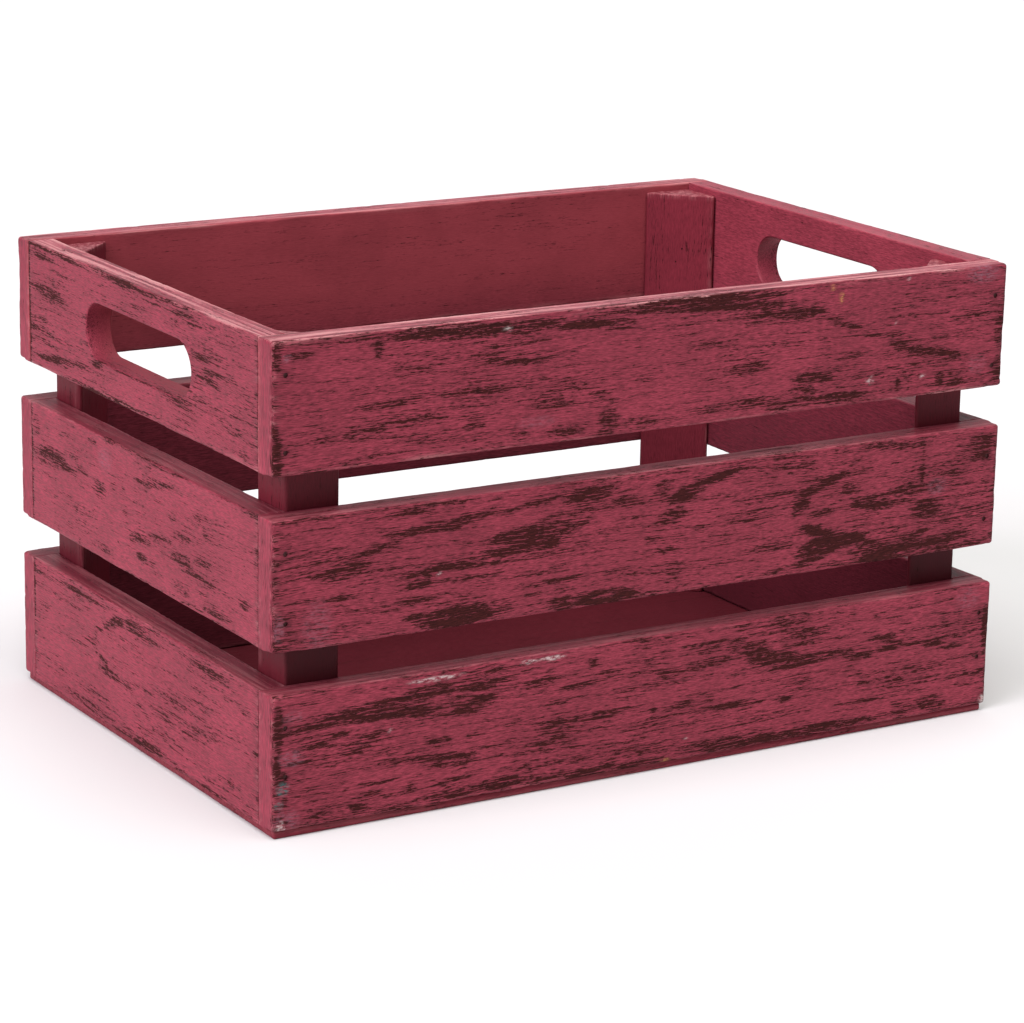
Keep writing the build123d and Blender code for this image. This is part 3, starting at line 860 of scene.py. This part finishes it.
def paint_board(piece, board, low, high, length, thickness, heads):
    """Sets how rubbed, chalky and marked each point of a board is, with painted highlights on its rim, painted
    light and painted shade inside, and dirt. It is darker round the nail heads.
    """
    places = vertex_places(piece.data)
    outward = np.array(board.outward, float)
    along = places @ np.array(board.along, float)
    up = places[:, 2]
    outer_plane = max(np.dot(low, outward), np.dot(high, outward))
    depth = outer_plane - places @ outward

    from_arris = np.minimum(up - low.z, high.z - up)
    from_face = np.minimum(depth, thickness - depth)
    from_end = length / 2 - np.abs(along)
    outside = np.clip(1.2 - depth / 3, 0, 1)
    inside = np.clip(1.2 - (thickness - depth) / 3, 0, 1)
    on_top = np.clip(1 - (high.z - up) / 1.2, 0, 1)
    long_arris = np.exp(-(np.maximum(from_arris, 0) ** 2 + np.maximum(from_face, 0) ** 2) / 4.5)
    end_arris = np.exp(-(np.maximum(from_end, 0) ** 2 + np.maximum(from_face, 0) ** 2) / 9)
    endcut = (from_end < 1.0).astype(float) * (from_face > 1.2)

    rubs = [Rub(*values) for values in RUBS.get(board.node, [])]
    if not rubs:
        rubs = scattered_rubs(board.seed, length / 2, low.z, high.z, 26 if board.turn == 0 else 18)
    patch, _ = patches(rubs, along, up)
    rub = OVERALL_RUB.get(board.node, USUAL_RUB) + 0.80 * patch * outside
    rub -= 1.5 * inside * (1 - outside) + 0.45 * endcut
    rub += 0.55 * end_arris * ripple(up, board.seed + 50, 22)
    rub += 0.35 * long_arris * ripple(along, board.seed + 60, 60)
    rub -= 0.22 * on_top
    # Pale: chalky wear from hands together with a painted highlight, over the rim tops and along the arrises.
    rim_chalk_and_highlight = RIM_CHALK_AND_HIGHLIGHT.get(board.node, 0.25)
    pale = 0.8 * rim_chalk_and_highlight * on_top + 0.45 * rim_chalk_and_highlight * long_arris * (1 - ripple(along, board.seed + 70, 90))
    pale += 0.3 * end_arris * (1 - ripple(up, board.seed + 80, 15))

    marks = MARKS.get(board.node, [])
    strength, winner = patches(marks, along, up)
    mark = np.zeros((len(along), 4))
    for index, shape in enumerate(marks):
        mark[winner == index, :3] = shape.colour
    mark[:, 3] = strength * outside
    end_face = np.clip(1.6 - from_end / 1.5, 0, 1)
    # Painted shade on the inner faces, deeper towards the floor.
    grime = painted_inner_shade(up) * (1 - outside) * (1 - on_top) * (1 - end_face)
    grime += 0.55 * end_arris * outside * ripple(up, board.seed + 90, 30)
    # The tops of the lower boards, down in the gaps between the tiers, get dust and painted shade.
    if not board.node.endswith("top"):
        grime += 0.38 * on_top * (0.6 + 0.6 * ripple(along, board.seed + 95, 80))
    for head in heads:
        grime += 0.7 * np.exp(-np.sum((places - head) ** 2, axis=1) / 9)
    # The inner faces near the rim get smoother paint and painted light, less of it on the right end.
    sheltered = inside * (1 - outside) * np.interp(up, (160, 205), (0.0, 1.0))
    if board.outward == RIGHT:
        sheltered *= 0.3
    shift = board.seed * 137.0
    dress(piece, (along + shift, up + board.seed * 41.0, depth + board.seed * 17.0), rub, np.clip(pale, 0, 1),
          grime, endcut, sheltered, mark)


FRONT, BACK, LEFT, RIGHT = (0, -1, 0), (0, 1, 0), (-1, 0, 0), (1, 0, 0)
ALONG = {FRONT: (1, 0, 0), BACK: (-1, 0, 0), LEFT: (0, -1, 0), RIGHT: (0, 1, 0)}
SIDES = {"front_board": (FRONT, 0.0), "back_board": (BACK, 0.0),
         "left_end_board": (LEFT, math.pi / 2), "right_end_board": (RIGHT, math.pi / 2)}

seed = 1
for side, (outward, turn) in SIDES.items():
    for tier in ("bottom", "middle", "top"):
        make_board(Board(f"{side}_{tier}", turn, outward, ALONG[outward], seed))
        seed += 1


# ---------------------------------------------------------------- corner posts


def rounded_triangle(corner, reach_x, reach_y, radius):
    """The outline of a post in metres: a right-angled triangle with legs this long and rounded arrises."""
    ends = ((0, 0), (reach_x, 0), (0, reach_y))
    points = [Vector((corner.x + x, corner.y + y)) for x, y in ends]
    outline = []
    for index, point in enumerate(points):
        before = (points[index - 1] - point).normalized()
        after = (points[(index + 1) % 3] - point).normalized()
        opening = before.angle(after)
        centre = point + (before + after).normalized() * radius / math.sin(opening / 2)
        start = point + before * radius / math.tan(opening / 2) - centre
        sweep = start.angle_signed(point + after * radius / math.tan(opening / 2) - centre)
        for step in range(7):
            turned = start.copy()
            turned.rotate(Matrix.Rotation(-sweep * step / 6, 2))
            outline.append(centre + turned)
    return outline


def filled(outline, step):
    """The same outline with points added so that none are further apart than step."""
    result = []
    for first, second in zip(outline, outline[1:] + outline[:1]):
        count = max(1, math.ceil((second - first).length / step))
        result += [first.lerp(second, part / count) for part in range(count)]
    return result


def make_post(node, seed):
    """Builds a worn triangular post in a corner of the crate, with pits over its brads."""
    low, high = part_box(node)
    side_x = -1 if low.x + high.x < 0 else 1
    side_y = -1 if low.y + high.y < 0 else 1
    corner = Vector((low.x if side_x < 0 else high.x, low.y if side_y < 0 else high.y))
    reach = high - low
    rounded_off = POST_ARRIS * math.sqrt(2)  # rounding a 45-degree tip draws it back this far along its leg
    leg_x, leg_y = reach.x + rounded_off, reach.y + rounded_off
    triangle = rounded_triangle(corner, -side_x * leg_x, -side_y * leg_y, POST_ARRIS)
    outline = filled(triangle, POST_RING_STEP * 0.8)
    centre = sum(outline, Vector((0, 0))) / len(outline)
    draw = np.random.default_rng(seed)
    phases = draw.uniform(0, 2 * math.pi, 6)

    # Each level is a height and how far the outline is drawn in there, so that the ends are rounded.
    angles = [math.radians(90 * step / 4) for step in range(5)]
    ends = [(POST_END_ROUNDING * (1 - math.sin(a)), POST_END_ROUNDING * (1 - math.cos(a))) for a in angles]
    bottom = [(low.z + rise, inset) for rise, inset in ends[::-1]]
    top = [(high.z - rise, inset) for rise, inset in ends]
    bottom[0] = (low.z, POST_END_ROUNDING)
    straight = high.z - low.z - 2 * POST_END_ROUNDING
    rings = round(straight / POST_RING_STEP)
    middle = [(low.z + POST_END_ROUNDING + straight * ring / rings, 0.0) for ring in range(1, rings)]
    points = []
    levels = bottom + middle + top
    for level, inset in levels:
        for index, point in enumerate(outline):
            inward = (centre - point).normalized()
            wave = 0.5 + 0.25 * math.sin(level / MM / 14 + phases[index % 3]) \
                + 0.25 * math.sin(level / MM / 37 + index * 0.35 + phases[3])
            place = point + inward * (inset + POST_WAVE * wave)
            points.append((place.x, place.y, level))
    faces = ring_faces(len(outline), len(levels))
    if side_x * side_y < 0:
        faces = [face[::-1] for face in faces]
    mesh = bpy.data.meshes.new("worn_" + node)
    mesh.from_pydata(points, [], faces)
    piece = new_piece("worn_" + node, mesh)
    outward = Vector((-side_x, -side_y, 0)).normalized()
    heads, radius = nail_heads(
        "post_brads", outward, lambda p: (p[:, 0] * side_x > 0) & (p[:, 1] * side_y > 0))
    bore(piece, pit_cutter(heads, radius, outward, seed, post_paint), post_paint)

    paint_post(piece, seed, side_x, side_y, low.z / MM, high.z / MM, corner.y / MM)
    finish_piece(piece, node, post_paint)


def paint_post(piece, seed, side_x, side_y, low, high, board_side):
    """Sets how rubbed, chalky and dirty each point of a post is, with a painted highlight on its top and painted
    shade over it. board_side is the Y of the long board's face.
    """
    places = vertex_places(piece.data)
    across = (places[:, 0] * side_x - places[:, 1] * side_y) / math.sqrt(2)
    depth = (places[:, 0] * side_x + places[:, 1] * side_y) / math.sqrt(2)
    half_face = np.abs(across).max()
    edge = np.clip(1 - (half_face - np.abs(across)) / 4, 0, 1)
    top_face = np.clip(1 - (high - places[:, 2]) / 1.5, 0, 1)
    patch, _ = patches(scattered_rubs(seed, half_face, low, high, 10), across, places[:, 2])
    # The paint has cracked along the joint with the long board.
    at_joint = np.abs(places[:, 1]) > np.abs(board_side) - 4
    crack = np.exp(-((half_face - np.abs(across)) / 0.9) ** 2) * at_joint
    rub = 0.02 + 0.4 * patch + 1.3 * crack * ripple(places[:, 2], seed + 5, 40) - 0.2 * top_face
    # The top face and the edges are paler: chalk, with a painted highlight on the top.
    pale = 0.35 * top_face + 0.25 * edge * (1 - ripple(places[:, 2], seed + 6, 30))
    # Painted shade on the post beside the long boards, on the side that they are nailed to, where it shows
    # through the gaps between them, over painted shade on the whole post that deepens towards the floor.
    shade_by_long_boards = np.clip(1 - np.abs(places[:, 1] - board_side) / 2, 0, 1)
    grime = np.clip(painted_inner_shade(places[:, 2]) * (0.5 + 0.3 * shade_by_long_boards) + 0.16 + 0.18 * shade_by_long_boards, 0, 1)
    nowhere = np.zeros_like(rub)
    grain = (places[:, 2] + seed * 131.0, across + seed * 23.0, depth)
    dress(piece, grain, rub, pale, grime, nowhere, nowhere)


for number, corner_name in enumerate(("front_left", "front_right", "back_left", "back_right")):
    make_post("corner_post_" + corner_name, FIRST_POST_SEED + number)


# ---------------------------------------------------------------- floor panel and nails


def make_panel():
    """The thin sheet nailed on from below."""
    low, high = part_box("floor_panel")
    size = high - low
    # The board tree has its width upright, so the flat panel's thickness goes in as Width.
    piece = run_tree(board_tree, new_piece("worn_floor_panel"), {
        "Length": size.x,
        "Thickness": size.y,
        "Width": size.z,
        "Cells along": round(size.x / PANEL_CELL),
        "Cells through": round(size.y / PANEL_CELL),
        "Cells across": PANEL_CELLS_THROUGH,
        "Arris": PANEL_ARRIS,
        "Crush": PANEL_CRUSH,
        "End wear": 0.0,
        "Wave": PANEL_WAVE,
        "Joint side": 0.0,
        "Joint arris": PANEL_ARRIS,
        "Seed": float(PANEL_SEED),
        "Turn": 0.0,
        "Place": (low + high) / 2,
        "Material": panel_paint,
    })
    heads, radius = nail_heads("floor_brads", (0, 0, -1))
    bore(piece, pit_cutter(heads, radius, (0, 0, -1), PANEL_SEED + 1, panel_paint), panel_paint)
    places = vertex_places(piece.data)
    edge = np.minimum(size.x / MM / 2 - np.abs(places[:, 0]), size.y / MM / 2 - np.abs(places[:, 1]))
    near_edge = np.clip(1 - edge / 3, 0, 1)
    under = (places[:, 2] < high.z / MM * 0.5).astype(float)
    rub = 0.02 + 0.25 * near_edge * ripple(places[:, 0] + places[:, 1], PANEL_SEED + 2, 70) + 0.1 * under
    # Away from its edges the panel is darkened with painted shade, as the floor deep inside the crate.
    dress(piece, (places[:, 0] + 977.0, places[:, 1] + 311.0, places[:, 2]), rub, 0.1 * near_edge,
          0.92 * (1 - near_edge), np.zeros_like(rub), np.zeros_like(rub))
    finish_piece(piece, "floor_panel", panel_paint)


make_panel()

for node in ("front_nails", "back_nails", "post_brads", "floor_brads"):
    nail_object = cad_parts[node]
    for material_slot in nail_object.material_slots:
        material_slot.material = nail_finish


# ---------------------------------------------------------------- floor, light and camera


def make_floor():
    """A plain pale studio floor."""
    material, nodes, shader = new_material("pale floor")
    place = nodes.add("ShaderNodeTexCoord").outputs["Object"]
    tone = nodes.mix(nodes.noise(place, scale=1.5, detail=2), (0.60, 0.60, 0.60, 1), (0.63, 0.63, 0.63, 1))
    nodes.feed(shader.inputs["Base Color"], tone)
    shader.inputs["Roughness"].default_value = 0.9
    half = STUDIO_FLOOR_HALF
    mesh = bpy.data.meshes.new("studio_floor")
    corners = [(-half, -half, 0), (half, -half, 0), (half, half, 0), (-half, half, 0)]
    mesh.from_pydata(corners, [], [(0, 1, 2, 3)])
    mesh.materials.append(material)
    new_piece("studio_floor", mesh)


def make_softbox(softbox):
    """A broad soft light far off in one direction."""
    light = bpy.data.lights.new(softbox.name, "SUN")
    light.energy = softbox.strength
    light.angle = math.radians(softbox.spread)
    light.color = softbox.colour
    lamp = bpy.data.objects.new(softbox.name, light)
    lamp.rotation_euler = Vector(softbox.towards).to_track_quat("Z", "Y").to_euler()
    bpy.context.scene.collection.objects.link(lamp)


def make_world():
    """Dim fill from all round, with a bright white backdrop behind the crate."""
    world = bpy.data.worlds.new("studio")
    world.use_nodes = True
    nodes = Nodes(world.node_tree)
    toward = nodes.add("ShaderNodeTexCoord").outputs["Generated"]
    facing = nodes.vector("DOT_PRODUCT", toward, BACKDROP_TOWARDS).node.outputs["Value"]
    glow = nodes.ramp(facing, BACKDROP_EDGE, 1.0, FILL_STRENGTH, BACKDROP_STRENGTH)
    background = world.node_tree.nodes["Background"]
    background.inputs["Color"].default_value = (1.0, 1.0, 1.0, 1.0)
    nodes.feed(background.inputs["Strength"], glow)
    bpy.context.scene.world = world


def make_camera():
    turn, dip = math.radians(CAMERA_TURN), math.radians(CAMERA_DIP)
    forward = Vector((math.sin(turn) * math.cos(dip), math.cos(turn) * math.cos(dip), -math.sin(dip)))
    level_right = forward.cross(Vector((0, 0, 1))).normalized()
    level_up = level_right.cross(forward)
    roll = math.radians(CAMERA_ROLL)
    right = level_right * math.cos(roll) + level_up * math.sin(roll)
    up = right.cross(forward)
    lens = bpy.data.cameras.new("camera")
    lens.lens = CAMERA_LENS
    lens.sensor_fit = "HORIZONTAL"
    lens.sensor_width = SENSOR_WIDTH
    camera = bpy.data.objects.new("camera", lens)
    turned = Matrix((right, up, -forward)).transposed().to_4x4()
    camera.matrix_world = Matrix.Translation(CAMERA_PLACE) @ turned
    bpy.context.scene.collection.objects.link(camera)
    bpy.context.scene.camera = camera


make_floor()
make_world()
for softbox in SOFTBOXES:
    make_softbox(softbox)
make_camera()
bpy.context.scene.view_settings.view_transform = "Standard"
